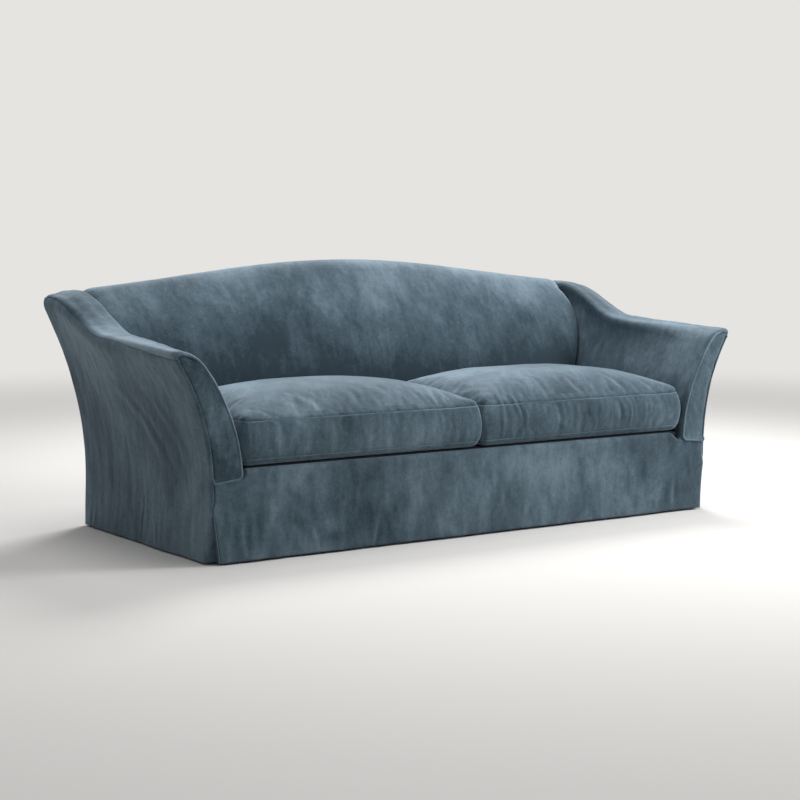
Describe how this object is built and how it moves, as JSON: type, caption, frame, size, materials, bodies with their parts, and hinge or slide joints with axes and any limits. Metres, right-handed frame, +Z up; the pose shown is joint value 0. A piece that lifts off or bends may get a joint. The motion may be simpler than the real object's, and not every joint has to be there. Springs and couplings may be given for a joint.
{
  "type": "camelback sofa",
  "caption": "Slipcovered camelback sofa in dusty blue velvet, with flared swoop arms, a tight humped back, loose seat cushions and a skirt to the floor.",
  "frame": {"origin": "On the floor under the middle of the sofa, at the bottom centre of its box.", "axes": "+X runs to the left-hand end of someone sitting, which is the right in a front view. +Y runs from front to back. +Z is up."},
  "size_m": [2.3572, 0.946, 0.919],
  "materials": {
    "velvet": "soft matte velvet with brushed nap",
    "pleat_cloth": "matte shadowed velvet",
    "zip_tape": "woven tape",
    "padding": "cotton felt and fibre wrap",
    "foam": "open-cell foam",
    "hardwood": "sawn and sanded",
    "leg_wood": "stained satin",
    "spring_steel": "drawn wire",
    "glide_plastic": "moulded",
    "zip_metal": "plated"
  },
  "bodies": {
    "sofa": {"front_seat_rail": "hardwood", "back_seat_rail": "hardwood", "center_stretcher": "hardwood", "crest_rail": "hardwood", "back_tack_rail": "hardwood", "back_rib_left": "hardwood", "back_rib_center": "hardwood", "back_rib_right": "hardwood", "side_seat_rail_left": "hardwood", "side_seat_rail_right": "hardwood", "corner_block_front_left": "hardwood", "corner_block_front_right": "hardwood", "corner_block_back_left": "hardwood", "corner_block_back_right": "hardwood", "arm_post_front_left": "hardwood", "arm_post_front_right": "hardwood", "arm_post_back_left": "hardwood", "arm_post_back_right": "hardwood", "arm_top_rail_left": "hardwood", "arm_top_rail_right": "hardwood", "leg_front_left": "leg_wood", "leg_front_right": "leg_wood", "leg_back_left": "leg_wood", "leg_back_right": "leg_wood", "leg_center": "leg_wood", "glide_front_left": "glide_plastic", "glide_front_right": "glide_plastic", "glide_back_left": "glide_plastic", "glide_back_right": "glide_plastic", "glide_center": "glide_plastic", "seat_spring_1": "spring_steel", "seat_spring_2": "spring_steel", "seat_spring_3": "spring_steel", "seat_spring_4": "spring_steel", "seat_spring_5": "spring_steel", "seat_spring_6": "spring_steel", "seat_deck": "padding", "back_pad": "padding", "arm_pad_left": "padding", "arm_pad_right": "padding", "inside_back_cover": "velvet", "outside_back_cover": "velvet", "front_skirt": "velvet", "outside_arm_cover_left": "velvet", "outside_arm_cover_right": "velvet", "inside_arm_cover_left": "velvet", "inside_arm_cover_right": "velvet", "arm_front_panel_left": "velvet", "arm_front_panel_right": "velvet", "pleat_underlay_left": "pleat_cloth", "pleat_underlay_right": "pleat_cloth"},
    "seat_cushion_left": {"cushion_cover_left": "velvet", "cushion_core_left": "foam", "cushion_zip_left": "zip_tape"},
    "zip_pull_left": {"zip_slider_left": "zip_metal"},
    "seat_cushion_right": {"cushion_cover_right": "velvet", "cushion_core_right": "foam", "cushion_zip_right": "zip_tape"},
    "zip_pull_right": {"zip_slider_right": "zip_metal"}
  },
  "joints": [
    {"name": "seat_cushion_left_lift", "type": "slide", "parent": "sofa", "child": "seat_cushion_left", "axis": [0, 0, 1], "range_m": [0, 0.25]},
    {"name": "zip_pull_left_slide", "type": "slide", "parent": "seat_cushion_left", "child": "zip_pull_left", "axis": [1, 0, 0], "range_m": [0, 0.66]},
    {"name": "seat_cushion_right_lift", "type": "slide", "parent": "sofa", "child": "seat_cushion_right", "axis": [0, 0, 1], "range_m": [0, 0.25]},
    {"name": "zip_pull_right_slide", "type": "slide", "parent": "seat_cushion_right", "child": "zip_pull_right", "axis": [1, 0, 0], "range_m": [0, 0.66]}
  ]
}
